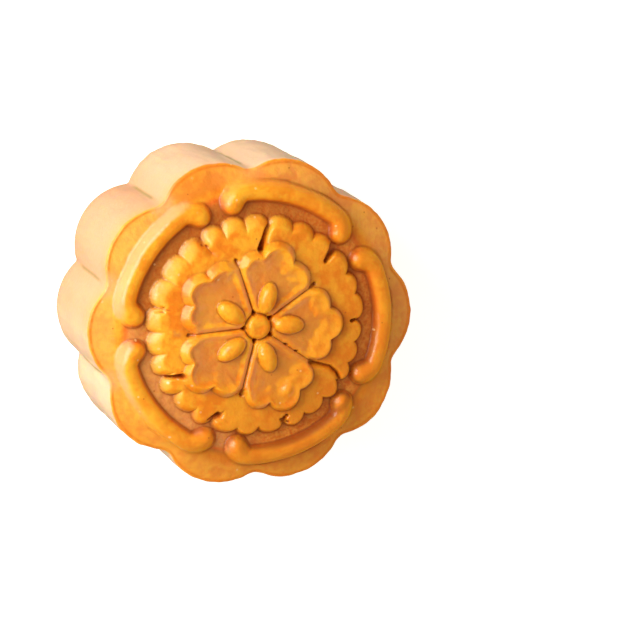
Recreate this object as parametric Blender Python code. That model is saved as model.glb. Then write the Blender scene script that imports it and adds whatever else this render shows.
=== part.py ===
"""A round lotus seed mooncake, baked whole: ten scalloped lobes round a deep pastry body, and on its face a
two-layer flower inside five scroll-ended ridges, all pressed in one mould. One solid, lying on its flat base.

Metres, +Z up. The origin is the middle of the flat base. +X points through the middle of one ridge and one
lobe, and the mould's fivefold pattern repeats from there. The flower was carved by hand, so its petals, seeds
and slits aren't quite evenly spaced, and their angles are given one by one.
"""

import math

import bmesh
import bpy
from mathutils import Vector

MM = 0.001

# The middle of a quarter-round edge lies this share of its radius in from both faces.
CORNER = 1 - math.sqrt(0.5)

# Body: ten lobes, each an arc of a circle, and a slightly bulged wall between a soft foot and a thin lip.
# The face rises from the lips to a low dome inside the ridges.
LOBES = 10
OVERALL_DIAMETER = 78.6 * MM
LOBE_RADIUS = 14.3 * MM
LOBE_POINTS = 12
RIM_HEIGHT = 33.7 * MM
FOOT_ROUND = 2.0 * MM
WALL_BULGE = 0.35 * MM
WALL_LEVELS = (0.35, 0.75)
LIP_ROUND = 0.5 * MM
LIP_WIDTH = 1.2 * MM
DISH_DEPTH = 0.4 * MM
DISH_WIDTH = 2.6 * MM
DISH_START = 0.4
SLOPE_LOBING = 0.3
FIELD_RADIUS = 28.6 * MM
FACE_DOME = 1.9 * MM

# Ridges: five arcs of half-oval section, each ending in two knobs that curl in towards the flower.
RIDGES = 5
RIDGE_RADIUS = 30.9 * MM
RIDGE_HALF_WIDTH = 2.3 * MM
RIDGE_HEIGHT = 4.1 * MM
RIDGE_STEPS = 18
KNOB_RING_RADIUS = 29.0 * MM
KNOB_ANGLE = math.radians(27.8)
KNOB_RADIUS = 2.9 * MM
KNOB_HEIGHT = 4.4 * MM
CURL_START = math.radians(20.5)
LUMP_SEGMENTS = 14
LUMP_RINGS = 8

# Back flower: one thick leaf of scallops in threes, with a slit between the threes. Every third slit is deep.
FLOWER_CREST = 26.1 * MM
FLOWER_NOTCH = 24.8 * MM
FLOWER_HEIGHT = 4.1 * MM
FLOWER_DRAFT = 0.5 * MM
FLOWER_ROUND = 0.8 * MM
SCALLOPS_PER_SLIT = 3
SCALLOP_POINTS = 7
SCALLOP_FULLNESS = 0.7
SLIT_ANGLES = [math.radians(a) for a in (82, 121, 166, 205, 243, 285, 323, 359, 401)]
DEEP_SLIT_EVERY = 3
DEEP_SLIT_ROOT = 18.5 * MM
SHORT_SLIT_ROOT = 22.6 * MM
DEEP_SLIT_SWEEP = math.radians(6.0)
SLIT_MOUTH = 0.4 * MM
SLIT_BELLY = 0.6 * MM
SLIT_STEPS = 4

# Front flower: five dished petals with three scallops each, five seeds and a middle button. A groove divides
# each petal from the next, and a petal fills the angle between its two grooves.
PETAL_ANGLES = [math.radians(a) for a in (-3, 71, 146, 219, 289)]
GROOVE_ANGLES = [math.radians(a) for a in (33, 107, 183, 255, 324)]
SEED_ANGLES = [math.radians(a) for a in (-4, 70, 148, 222, 288)]
GROOVE_HALF_ANGLE = math.radians(0.8)
PETAL_TIP = 20.9 * MM
PETAL_TIP_ROUND = 3.9 * MM
PETAL_NOTCH_ANGLE = math.radians(12.7)
PETAL_NOTCH = 17.4 * MM
PETAL_SIDE_TIP = 18.6 * MM
PETAL_SIDE_TIP_ANGLE = math.radians(19.0)
PETAL_HALF_ANGLE = math.radians(35.2)
PETAL_CORNER_CUT = 0.35
PETAL_CORNER_CURVE = 2.5
PETAL_FLANK_TAPER = 0.12
PETAL_HEEL = 4.3 * MM
PETAL_MIDDLE = 12.0 * MM
PETAL_HEIGHT = 5.7 * MM
PETAL_DISH = 0.9 * MM

# A petal's outline draws in up its wall by drops below the rim, then down its dish by shares of its depth.
PETAL_WALL = ((0.99, 0.8 * MM), (0.97, 0.2 * MM), (0.93, 0.0))
PETAL_BOWL = ((0.84, 0.35), (0.65, 0.85))

SEED_RING_RADIUS = 7.9 * MM
SEED_HALF_LENGTH = 3.6 * MM
SEED_HALF_WIDTH = 2.0 * MM
SEED_HEIGHT = 6.4 * MM
SEED_FOOT = 4.4 * MM
BUTTON_RADIUS = 3.1 * MM
BUTTON_HEIGHT = 6.0 * MM
BUTTON_ROUND = 1.2 * MM
BUTTON_DIMPLE = 0.3 * MM
BUTTON_POINTS = 18

# What is fused reaches this far down into the dough below it.
BURY = 1.5 * MM
WELD_DISTANCE = 0.01 * MM

CRUST_COLOUR = (0.83, 0.42, 0.11, 1.0)
CRUST_ROUGHNESS = 0.45
SHARP_EDGE = math.radians(40)


def polar(radius, angle, height=0.0):
    return Vector((radius * math.cos(angle), radius * math.sin(angle), height))


def arc_radius(reach, round_radius, off_crest):
    """Distance from the axis to a lobe's edge, at an angle off its crest. The lobe is an arc of a circle."""
    centre = reach - round_radius
    return centre * math.cos(off_crest) + math.sqrt(round_radius**2 - (centre * math.sin(off_crest)) ** 2)


def lobed_radius(angle):
    pitch = 2 * math.pi / LOBES
    return arc_radius(OVERALL_DIAMETER / 2, LOBE_RADIUS, angle - pitch * round(angle / pitch))


def new_object(name, data, collection):
    item = bpy.data.objects.new(name, data)
    collection.objects.link(item)
    return item


def loft(name, rings, collection, peak=None):
    """A closed solid through rings of equally many points, foot first. peak is the point at its top."""
    shell = bmesh.new()
    levels = [[shell.verts.new(point) for point in ring] for ring in rings]
    shell.faces.new(reversed(levels[0]))
    for lower, upper in zip(levels, levels[1:]):
        for i, corner in enumerate(lower):
            shell.faces.new((lower[i - 1], corner, upper[i], upper[i - 1]))
    top = shell.faces.new(levels[-1])
    if peak is not None:
        poked = bmesh.ops.poke(shell, faces=[top])
        poked["verts"][0].co = peak
    mesh = bpy.data.meshes.new(name)
    shell.to_mesh(mesh)
    shell.free()
    return new_object(name, mesh, collection)


def egg(name, at, size, turn, collection):
    """An oval lump of the given half sizes, turned about +Z."""
    shell = bmesh.new()
    bmesh.ops.create_uvsphere(shell, u_segments=LUMP_SEGMENTS, v_segments=LUMP_RINGS, radius=1.0)
    mesh = bpy.data.meshes.new(name)
    shell.to_mesh(mesh)
    shell.free()
    lump = new_object(name, mesh, collection)
    lump.location = at
    lump.scale = size
    lump.rotation_euler.z = turn
    return lump


def body(collection):
    """The lobed body, as rings from the base up the wall, over the lip and in to the middle of the face."""
    steps = LOBES * LOBE_POINTS
    angles = [2 * math.pi * i / steps for i in range(steps)]

    def wall_ring(inset, height):
        return [polar(lobed_radius(a) - inset, a, height) for a in angles]

    def bulged_ring(height):
        return wall_ring(WALL_BULGE * (height / RIM_HEIGHT) ** 2, height)

    def face_ring(radius, lobed_share, height):
        depths = [lobed_share * (lobed_radius(a) - OVERALL_DIAMETER / 2) for a in angles]
        return [polar(radius + depth, a, height) for a, depth in zip(angles, depths)]

    foot_corner = FOOT_ROUND * CORNER
    field_height = RIM_HEIGHT + FACE_DOME
    rings = [
        wall_ring(FOOT_ROUND, 0.0),
        wall_ring(foot_corner, foot_corner),
        wall_ring(0.0, FOOT_ROUND),
        *[bulged_ring(RIM_HEIGHT * share) for share in WALL_LEVELS],
        wall_ring(WALL_BULGE, RIM_HEIGHT - LIP_ROUND),
        wall_ring(WALL_BULGE + LIP_ROUND, RIM_HEIGHT),
        wall_ring(WALL_BULGE + LIP_WIDTH, RIM_HEIGHT - DISH_DEPTH * DISH_START),
        wall_ring(WALL_BULGE + DISH_WIDTH, RIM_HEIGHT - DISH_DEPTH),
        face_ring(RIDGE_RADIUS + RIDGE_HALF_WIDTH, SLOPE_LOBING, RIM_HEIGHT),
        face_ring(FIELD_RADIUS, 0.0, field_height),
        face_ring(FLOWER_NOTCH - BURY, 0.0, field_height),
    ]
    return loft("mooncake", rings, collection, peak=Vector((0, 0, field_height)))


def ridge(index, collection):
    """A ridge along an arc that curls in at both ends, with a knob on each end."""
    middle = 2 * math.pi * index / RIDGES
    route = []
    for i in range(RIDGE_STEPS + 1):
        off_middle = KNOB_ANGLE * (2 * i / RIDGE_STEPS - 1)
        curl = max(0.0, abs(off_middle) - CURL_START) / (KNOB_ANGLE - CURL_START)
        route.append(polar(RIDGE_RADIUS + (KNOB_RING_RADIUS - RIDGE_RADIUS) * curl**2, middle + off_middle))

    curve = bpy.data.curves.new(f"ridge_{index}", "CURVE")
    curve.dimensions = "3D"
    curve.bevel_depth = RIDGE_HALF_WIDTH
    curve.bevel_resolution = 2
    curve.use_fill_caps = True
    spline = curve.splines.new("POLY")
    spline.points.add(len(route) - 1)
    for point, place in zip(spline.points, route):
        point.co = (*place, 1.0)
    tube = new_object(curve.name, curve, collection)
    tube.scale.z = RIDGE_HEIGHT / RIDGE_HALF_WIDTH
    tube.location.z = RIM_HEIGHT
    as_mesh(tube, collection)
    for side in (-1, 1):
        at = polar(KNOB_RING_RADIUS, middle + side * KNOB_ANGLE, RIM_HEIGHT)
        size = (KNOB_RADIUS, KNOB_RADIUS, KNOB_HEIGHT)
        egg(f"knob_{index}_{side}", at, size, 0.0, collection)


def as_mesh(item, collection):
    """Replaces a curve object with a mesh of the same shape, whose caps are welded to its sides."""
    bpy.context.view_layer.update()
    graph = bpy.context.evaluated_depsgraph_get()
    mesh = bpy.data.meshes.new_from_object(item.evaluated_get(graph))
    mesh.transform(item.matrix_world)
    shell = bmesh.new()
    shell.from_mesh(mesh)
    bmesh.ops.remove_doubles(shell, verts=shell.verts, dist=WELD_DISTANCE)
    shell.to_mesh(mesh)
    shell.free()
    name = item.name
    bpy.data.objects.remove(item)
    return new_object(name, mesh, collection)


def scallops(start, end):
    """Outline of the back flower from one slit up to the next, in equal scallops."""
    span = (end - start) / SCALLOPS_PER_SLIT
    points = []
    for k in range(SCALLOPS_PER_SLIT):
        for i in range(SCALLOP_POINTS):
            share = (i + 0.5) / SCALLOP_POINTS
            swell = math.sin(math.pi * share) ** SCALLOP_FULLNESS
            radius = FLOWER_NOTCH + (FLOWER_CREST - FLOWER_NOTCH) * swell
            points.append((radius, start + span * (k + share)))
    return points


def slit(angle, deep):
    """Outline of a slit: in along one side and out along the other. A deep one also sweeps sideways."""
    root = DEEP_SLIT_ROOT if deep else SHORT_SLIT_ROOT
    sweep = DEEP_SLIT_SWEEP if deep else 0.0
    near_side, far_side = [], []
    for i in range(SLIT_STEPS + 1):
        share = i / SLIT_STEPS
        radius = FLOWER_NOTCH + (root - FLOWER_NOTCH) * share
        half_width = SLIT_MOUTH + (SLIT_BELLY - SLIT_MOUTH) * math.sin(math.pi * share)
        half_angle = half_width / radius
        near_side.append((radius, angle + sweep * share - half_angle))
        far_side.append((radius, angle + sweep * share + half_angle))
    return near_side + far_side[::-1]


def back_flower(collection):
    """The scalloped leaf behind the petals, slightly wider at its foot and rounded over at its top edge."""
    edge = []
    for k, angle in enumerate(SLIT_ANGLES):
        following = SLIT_ANGLES[k + 1] if k + 1 < len(SLIT_ANGLES) else SLIT_ANGLES[0] + 2 * math.pi
        edge += slit(angle, k % DEEP_SLIT_EVERY == 0)
        edge += scallops(angle, following)

    def ring(inset, height):
        return [polar(radius - inset, angle, RIM_HEIGHT + height) for radius, angle in edge]

    rings = [
        ring(0.0, FACE_DOME - BURY),
        ring(0.0, FACE_DOME),
        ring(FLOWER_DRAFT, FLOWER_HEIGHT - FLOWER_ROUND),
        ring(FLOWER_DRAFT + CORNER * FLOWER_ROUND, FLOWER_HEIGHT - CORNER * FLOWER_ROUND),
        ring(FLOWER_DRAFT + FLOWER_ROUND, FLOWER_HEIGHT),
    ]
    return loft("back_flower", rings, collection)


def petal_radius(angle):
    """Distance from the axis to a petal's outer edge: a round middle scallop, then one with a cut corner."""
    angle = abs(angle)
    if angle < PETAL_NOTCH_ANGLE:
        return arc_radius(PETAL_TIP, PETAL_TIP_ROUND, angle)
    if angle < PETAL_SIDE_TIP_ANGLE:
        share = (PETAL_SIDE_TIP_ANGLE - angle) / (PETAL_SIDE_TIP_ANGLE - PETAL_NOTCH_ANGLE)
        return PETAL_SIDE_TIP - (PETAL_SIDE_TIP - PETAL_NOTCH) * share**2
    share = (angle - PETAL_SIDE_TIP_ANGLE) / (PETAL_HALF_ANGLE - PETAL_SIDE_TIP_ANGLE)
    return PETAL_SIDE_TIP * (1 - PETAL_CORNER_CUT * share**PETAL_CORNER_CURVE)


def petal_half():
    """(radius, angle) points down one side of a petal that points along +X, from its tip to its heel."""
    side_span = PETAL_HALF_ANGLE - PETAL_NOTCH_ANGLE
    middle_scallop = [PETAL_NOTCH_ANGLE * share for share in (0.0, 0.3, 0.6, 0.85)]
    side_shares = (0.0, 0.15, 0.35, 0.55, 0.7, 0.85, 0.95, 1.0)
    side_scallop = [PETAL_NOTCH_ANGLE + side_span * share for share in side_shares]
    half = [(petal_radius(angle), angle) for angle in middle_scallop + side_scallop]
    corner = half[-1][0]
    for share in (0.35, 0.7, 1.0):
        flank_angle = PETAL_HALF_ANGLE * (1 - PETAL_FLANK_TAPER * share)
        half.append((corner + (PETAL_HEEL - corner) * share, flank_angle))
    return half


def petal(index, collection):
    """A petal with a raised rim and a dished middle, tapering down to its heel by the button."""
    middle = PETAL_ANGLES[index]
    left_room = GROOVE_ANGLES[index] - middle - GROOVE_HALF_ANGLE
    right_room = (middle - GROOVE_ANGLES[index - 1]) % (2 * math.pi) - GROOVE_HALF_ANGLE
    half = petal_half()
    edge = [polar(radius, middle + angle * left_room / PETAL_HALF_ANGLE) for radius, angle in half]
    edge += [polar(radius, middle - angle * right_room / PETAL_HALF_ANGLE) for radius, angle in half[:0:-1]]
    centre = polar(PETAL_MIDDLE, middle)

    def ring(share, height):
        level = Vector((0, 0, RIM_HEIGHT + height))
        return [centre + (point - centre) * share + level for point in edge]

    rings = [ring(1.0, FLOWER_HEIGHT - BURY)]
    rings += [ring(share, PETAL_HEIGHT - drop) for share, drop in PETAL_WALL]
    rings += [ring(share, PETAL_HEIGHT - PETAL_DISH * sunk) for share, sunk in PETAL_BOWL]
    peak = centre + Vector((0, 0, RIM_HEIGHT + PETAL_HEIGHT - PETAL_DISH))
    return loft(f"petal_{index}", rings, collection, peak)


def seed(index, collection):
    """An oval seed lying along the middle of its petal, next to the button."""
    turn = SEED_ANGLES[index]
    at = polar(SEED_RING_RADIUS, turn, RIM_HEIGHT + SEED_FOOT)
    size = (SEED_HALF_LENGTH, SEED_HALF_WIDTH, SEED_HEIGHT - SEED_FOOT)
    return egg(f"seed_{index}", at, size, turn, collection)


def button(collection):
    """The round button in the middle of the flower, with a slight dimple."""
    angles = [2 * math.pi * i / BUTTON_POINTS for i in range(BUTTON_POINTS)]

    def ring(inset, height):
        return [polar(BUTTON_RADIUS - inset, a, RIM_HEIGHT + height) for a in angles]

    rings = [
        ring(0.0, FLOWER_HEIGHT - BURY),
        ring(0.0, BUTTON_HEIGHT - BUTTON_ROUND),
        ring(CORNER * BUTTON_ROUND, BUTTON_HEIGHT - CORNER * BUTTON_ROUND),
        ring(BUTTON_ROUND, BUTTON_HEIGHT),
    ]
    dimple = Vector((0, 0, RIM_HEIGHT + BUTTON_HEIGHT - BUTTON_DIMPLE))
    return loft("button", rings, collection, peak=dimple)


def fuse(target, collection):
    """Joins every object of a collection to the target with one Boolean union, and then removes them."""
    union = target.modifiers.new("union", "BOOLEAN")
    union.operation = "UNION"
    union.solver = "EXACT"
    union.operand_type = "COLLECTION"
    union.collection = collection
    bpy.context.view_layer.update()
    graph = bpy.context.evaluated_depsgraph_get()
    mesh = bpy.data.meshes.new_from_object(target.evaluated_get(graph))
    target.modifiers.clear()
    target.data = mesh
    for item in list(collection.objects):
        bpy.data.objects.remove(item)
    bpy.data.collections.remove(collection)


def crust_material():
    crust = bpy.data.materials.new("baked_crust")
    crust.use_nodes = True
    shader = crust.node_tree.nodes["Principled BSDF"]
    shader.inputs["Base Color"].default_value = CRUST_COLOUR
    shader.inputs["Roughness"].default_value = CRUST_ROUGHNESS
    shader.inputs["Metallic"].default_value = 0.0
    return crust


def build():
    for item in list(bpy.data.objects):
        bpy.data.objects.remove(item)
    whole = bpy.data.collections.new("lotus_seed_mooncake")
    relief = bpy.data.collections.new("relief")
    bpy.context.scene.collection.children.link(whole)
    bpy.context.scene.collection.children.link(relief)

    cake = body(whole)
    back_flower(relief)
    for index in range(RIDGES):
        ridge(index, relief)
    for index in range(len(PETAL_ANGLES)):
        petal(index, relief)
        seed(index, relief)
    button(relief)
    fuse(cake, relief)

    cake.data.materials.clear()
    cake.data.materials.append(crust_material())
    cake.data.shade_smooth()
    cake.data.set_sharp_from_angle(angle=SHARP_EDGE)


build()
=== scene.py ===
import math

import bmesh
import bpy
import numpy as np
from mathutils import Matrix, Vector, noise


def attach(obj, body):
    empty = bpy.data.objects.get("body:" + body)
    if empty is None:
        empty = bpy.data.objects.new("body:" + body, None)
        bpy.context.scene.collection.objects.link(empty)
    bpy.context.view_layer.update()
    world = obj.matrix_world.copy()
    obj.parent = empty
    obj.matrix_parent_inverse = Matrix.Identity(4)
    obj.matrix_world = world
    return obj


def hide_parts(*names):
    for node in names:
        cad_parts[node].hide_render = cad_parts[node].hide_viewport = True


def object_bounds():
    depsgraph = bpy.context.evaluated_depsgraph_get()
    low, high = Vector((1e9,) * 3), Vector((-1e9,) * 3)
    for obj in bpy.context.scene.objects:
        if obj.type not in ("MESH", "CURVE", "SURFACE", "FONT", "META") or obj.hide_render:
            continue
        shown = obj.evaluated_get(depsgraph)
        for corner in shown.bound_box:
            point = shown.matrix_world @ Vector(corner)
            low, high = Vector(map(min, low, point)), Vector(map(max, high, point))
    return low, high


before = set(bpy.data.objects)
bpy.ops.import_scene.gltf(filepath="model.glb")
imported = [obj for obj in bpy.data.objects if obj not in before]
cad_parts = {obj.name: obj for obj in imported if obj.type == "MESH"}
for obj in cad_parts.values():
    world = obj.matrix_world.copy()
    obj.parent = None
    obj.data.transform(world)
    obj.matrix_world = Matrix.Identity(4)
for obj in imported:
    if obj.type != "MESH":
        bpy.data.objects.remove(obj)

cad_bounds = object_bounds()


# The view: a long lens looks down on the cake, which lies on its base. The camera stands off towards -X +Y,
# so the pale walls show along the picture's upper left.
MM = 0.001
rim_height = 33.7 * MM
camera_aim = Vector((16.4 * MM, -0.6 * MM, rim_height))
camera_distance = 559.8 * MM
camera_azimuth = math.radians(144.51)
camera_elevation = math.radians(68.33)
picture_up = Vector((0.0736, 0.9767, -0.2015))

camera_data = bpy.data.cameras.new("camera")
camera_data.lens = 135.0
camera_data.sensor_width = 36.0
camera_data.clip_start = 0.01
camera = bpy.data.objects.new("camera", camera_data)
bpy.context.scene.collection.objects.link(camera)


def direction(bearing, elevation):
    """The way out from the cake at a bearing round it and a height over the floor, both in radians."""
    level = math.cos(elevation)
    return Vector((level * math.cos(bearing), level * math.sin(bearing), math.sin(elevation)))


camera_back = direction(camera_azimuth, camera_elevation)
camera_right = picture_up.cross(camera_back).normalized()
camera_up = camera_back.cross(camera_right)
camera.matrix_world = Matrix.Translation(camera_aim + camera_back * camera_distance) @ Matrix(
    (camera_right, camera_up, camera_back)
).transposed().to_4x4()
bpy.context.scene.camera = camera


# The studio: a pale floor, an even and slightly warm surround, and one large soft light at the picture's
# left, near enough for the lobes on that side to catch more of it. Neither floor nor surround is mirrored in
# the glaze.
key_bearing = math.radians(157.0)
key_elevation = math.radians(28.0)
key_distance = 0.23
key_width = 0.24
key_height = 0.13

bpy.context.scene.view_settings.view_transform = "Standard"
bpy.ops.object.select_all(action="DESELECT")
bpy.ops.mesh.primitive_plane_add(size=4.0, location=(0.0, 0.0, 0.0))
floor = bpy.context.object
floor.name = "floor"
floor_paint = bpy.data.materials.new("floor_paint")
floor_paint.use_nodes = True
paint = floor_paint.node_tree.nodes["Principled BSDF"]
paint.inputs["Base Color"].default_value = (0.93, 0.92, 0.90, 1.0)
paint.inputs["Roughness"].default_value = 0.9
paint.inputs["Emission Color"].default_value = (1.0, 0.99, 0.97, 1.0)
paint.inputs["Emission Strength"].default_value = 0.55
floor.data.materials.append(floor_paint)
floor.visible_glossy = False

surround = bpy.data.worlds.new("surround")
surround.use_nodes = True
surround.node_tree.nodes["Background"].inputs["Color"].default_value = (1.0, 0.97, 0.935, 1.0)
surround.node_tree.nodes["Background"].inputs["Strength"].default_value = 0.60
surround.cycles_visibility.glossy = False
bpy.context.scene.world = surround

soft_box = bpy.data.lights.new("key", "AREA")
soft_box.shape = "RECTANGLE"
soft_box.size = key_width
soft_box.size_y = key_height
soft_box.energy = 0.66
soft_box.color = (1.0, 0.95, 0.87)
lamp = bpy.data.objects.new("key", soft_box)
bpy.context.scene.collection.objects.link(lamp)
outward = direction(key_bearing, key_elevation)
lamp.matrix_world = Matrix.Translation(Vector((0, 0, rim_height)) + outward * key_distance) @ (
    outward.to_track_quat("Z", "Y").to_matrix().to_4x4()
)


# The cake's body: pastry dough round its filling, pressed in a mould of ten lobes. It is laid as flat grids
# that are rolled round the axis: a wide one for the foot, the wall, the lip and the outer face, and narrower
# ones, each with half the columns of the one outside it, for the middle of the face and for the base.
lobes = 10
lobe_reach = cad_bounds[1][0]
lobe_radius = 14.3 * MM
cusp_angle = math.pi / lobes
foot_softness = 0.7 * MM
rim_softness = 2.5 * MM
foot_round = 2.0 * MM
lip_round = 0.5 * MM
wall_lean = 0.35 * MM
columns = 720
foot_rows = 4
lip_rows = 3
wall_rows = 18
lobe_rows = 24
pattern_rows = 55
pattern_reach = 31.0 * MM
pattern_end = 17.0 * MM
same_place = 0.002 * MM

# A band of the face's middle or of the base is its columns, its rows, and the radii of its outer and inner
# ring.
face_bands = [(360, 31, 16.7 * MM, 8.5 * MM), (180, 17, 8.25 * MM, 3.9 * MM), (90, 13, 3.65 * MM, 0.3 * MM)]
base_bands = [(360, 2, 34.0 * MM, 31.0 * MM), (180, 2, 30.0 * MM, 24.0 * MM), (90, 4, 23.0 * MM, 0.3 * MM)]


def lobed_radius(angle, softness):
    """Distance from the axis to the wall. Softness rounds the hollow between two lobes."""
    off_crest = np.abs((angle + cusp_angle) % (2 * cusp_angle) - cusp_angle)
    centre = lobe_reach - lobe_radius

    def arc(turn):
        return centre * np.cos(turn) + np.sqrt(np.maximum(lobe_radius**2 - (centre * np.sin(turn)) ** 2, 0.0))

    own, other = arc(off_crest), arc(2 * cusp_angle - off_crest)
    blend = np.maximum(softness - np.abs(own - other), 0.0)
    return np.maximum(own, other) + blend**2 / (4 * softness)


def points_of(mesh):
    flat = np.empty(len(mesh.vertices) * 3)
    mesh.vertices.foreach_get("co", flat)
    return flat.reshape(-1, 3)


def place_points(mesh, points):
    mesh.vertices.foreach_set("co", points.ravel())
    mesh.update()


bands = [(columns, wall_rows + lobe_rows + pattern_rows)] + [band[:2] for band in face_bands + base_bands]
band_starts = [0]
for count, rows in bands:
    band_starts.append(band_starts[-1] + (count + 1) * (rows + 1))
bpy.ops.object.select_all(action="DESELECT")
bpy.ops.mesh.primitive_grid_add(x_subdivisions=bands[0][0], y_subdivisions=bands[0][1], size=0.1)
crust = bpy.context.object
crust.name = "mooncake_crust"
bpy.ops.object.mode_set(mode="EDIT")
for count, rows in bands[1:]:
    bpy.ops.mesh.primitive_grid_add(x_subdivisions=count, y_subdivisions=rows, size=0.1)
bpy.ops.object.mode_set(mode="OBJECT")


def ring_of(band, row):
    """The vertices of one row of a band, from its first column round to its last."""
    start = band_starts[band] + row * (bands[band][0] + 1)
    return range(start, start + bands[band][0] + 1)


def lay_row(band, row, radius, height):
    """Rolls one row of a band once round the axis."""
    bearings = 2 * math.pi * np.arange(bands[band][0] + 1) / bands[band][0]
    points[ring_of(band, row)] = np.stack(
        [radius * np.cos(bearings), radius * np.sin(bearings), bearings * 0 + height], 1)


# Each row goes to its place: a quarter round at the foot, the wall, a quarter round at the lip, and the
# face.
points = points_of(crust.data)
round_the_cake = 2 * math.pi * np.arange(columns + 1) / columns
for row in range(bands[0][1] + 1):
    if row <= foot_rows:
        turn = row / foot_rows * math.pi / 2
        inset = foot_round * (1 - math.sin(turn))
        height = foot_round * (1 - math.cos(turn))
    elif row <= wall_rows - lip_rows:
        share = (row - foot_rows) / (wall_rows - lip_rows - foot_rows)
        inset = wall_lean * share**2
        height = foot_round + (rim_height - lip_round - foot_round) * share
    else:
        turn = min((row - wall_rows + lip_rows) / lip_rows, 1.0) * math.pi / 2
        inset = wall_lean + lip_round * (1 - math.cos(turn))
        height = rim_height - lip_round * (1 - math.sin(turn))
    softness = foot_softness + (rim_softness - foot_softness) * (height / rim_height) ** 4
    radius = lobed_radius(round_the_cake, softness) - inset
    if row == wall_rows:
        lip_reach = radius
    if row > wall_rows:
        radius = lip_reach + (pattern_reach - lip_reach) * min((row - wall_rows) / lobe_rows, 1.0)
    if row > wall_rows + lobe_rows:
        share = (row - wall_rows - lobe_rows) / pattern_rows
        radius = pattern_reach + (pattern_end - pattern_reach) * share
    lay_row(0, row, radius, height)
for band, (count, rows, outer_radius, inner_radius) in enumerate(face_bands + base_bands, start=1):
    height = rim_height if band <= len(face_bands) else 0.0
    for row in range(rows + 1):
        lay_row(band, row, outer_radius + (inner_radius - outer_radius) * row / rows, height)
place_points(crust.data, points)


def join_halved(sheet, outer, inner):
    """Joins a ring to one with half as many columns, by three faces to each pair of its edges."""
    for i in range(len(inner) - 1):
        first, middle, last = (sheet.verts[outer[2 * i + k]] for k in range(3))
        near, following = sheet.verts[inner[i]], sheet.verts[inner[i + 1]]
        for corners in ((first, middle, near), (middle, following, near), (middle, last, following)):
            sheet.faces.new(corners)


sheet = bmesh.new()
sheet.from_mesh(crust.data)
sheet.verts.ensure_lookup_table()
for band in range(1, len(bands)):
    first_of_base = band == len(face_bands) + 1
    outer_ring = ring_of(0, 0) if first_of_base else ring_of(band - 1, bands[band - 1][1])
    join_halved(sheet, outer_ring, ring_of(band, 0))
for band in (len(face_bands), len(bands) - 1):
    sheet.faces.new([sheet.verts[i] for i in ring_of(band, bands[band][1])[:-1]])
bmesh.ops.remove_doubles(sheet, verts=sheet.verts, dist=same_place)
bmesh.ops.poke(sheet, faces=[face for face in sheet.faces if len(face.verts) > 4])
bmesh.ops.recalc_face_normals(sheet, faces=sheet.faces)
sheet.to_mesh(crust.data)
sheet.free()

# The face takes the shape of the mould's floor: a narrow lip, lobes dished a little, and a low dome that
# rises across the lobes and on under the ridges.
dome_height = 1.9 * MM
lobe_rise = 0.6
lobe_rise_power = 1.15
dome_edge = 32.6 * MM
dome_flat = 28.4 * MM
lobe_dish = 0.12 * MM
lip_width = 0.35 * MM
dish_run = 0.9 * MM


def smooth_step(value, start, end):
    share = np.clip((value - start) / (end - start), 0.0, 1.0)
    return share * share * (3 - 2 * share)


points = points_of(crust.data)
radii = np.hypot(points[:, 0], points[:, 1])
angles = np.arctan2(points[:, 1], points[:, 0])
from_lip = lobed_radius(angles, rim_softness) - wall_lean - radii
on_face = points[:, 2] > rim_height - 0.001 * MM
inwards = np.clip(from_lip / np.maximum(from_lip + radii - dome_edge, 0.1 * MM), 0.0, 1.0)
dome = lobe_rise * inwards**lobe_rise_power + (1 - lobe_rise) * (1 - smooth_step(radii, dome_flat, dome_edge))
dish = smooth_step(from_lip, lip_width, lip_width + dish_run) * (1 - inwards)
floor_heights = rim_height - lobe_dish * dish + dome_height * dome
points[on_face, 2] = floor_heights[on_face]
place_points(crust.data, points)


# The ridges: five raised arcs of dough round the flower. Both ends of each curl inwards and swell into a
# round knob. A ridge is one half, drawn out section by section and mirrored, and the crust is pressed down
# over it later.
ridge_count = 5
ridge_radius = 30.9 * MM
ridge_half_width = 2.55 * MM
ridge_height = 4.1 * MM
inner_fullness = 3.0
outer_fullness = 1.9
knob_fullness = 1.8
ridge_lean = 0.6 * MM
curl_start = math.radians(20.5)
curl_turn = math.radians(60.0)
curl_radius = 4.25 * MM
knob_radius = 3.25 * MM
knob_height = 4.4 * MM
knob_end = math.radians(88.0)
arc_steps = 24
curl_steps = 16
knob_steps = 9
section_sides = 40
forms = []


def unit(turn):
    return np.array([math.cos(turn), math.sin(turn)])


def rounded(value, fullness):
    """A cosine or a sine, drawn towards a square by a fullness over 2 and towards a point by one below it."""
    return np.sign(value) * np.abs(value) ** (2 / fullness)


def ridge_stations():
    """Places along half a ridge: centre, heading, half-width and height of the section, and share of knob."""
    stations = []
    for step in range(arc_steps + 1):
        turn = curl_start * step / arc_steps
        stations.append((unit(turn) * ridge_radius, turn + math.pi / 2, ridge_half_width, ridge_height, 0.0))
    curl_centre = unit(curl_start) * (ridge_radius - curl_radius)
    for step in range(1, curl_steps + 1):
        turn = curl_start + curl_turn * step / curl_steps
        swell = smooth_step(step / curl_steps, 0.0, 1.0)
        half_width = ridge_half_width + (knob_radius - ridge_half_width) * swell
        height = ridge_height + (knob_height - ridge_height) * swell
        centre = curl_centre + unit(turn) * curl_radius
        stations.append((centre, turn + math.pi / 2, half_width, height, swell))
    centre, heading, half_width, height, swell = stations[-1]
    for step in range(1, knob_steps + 1):
        turn = knob_end * step / knob_steps
        ahead = unit(heading) * half_width * math.sin(turn)
        stations.append((centre + ahead, heading, half_width * math.cos(turn), height * math.cos(turn), 1.0))
    return stations


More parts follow.
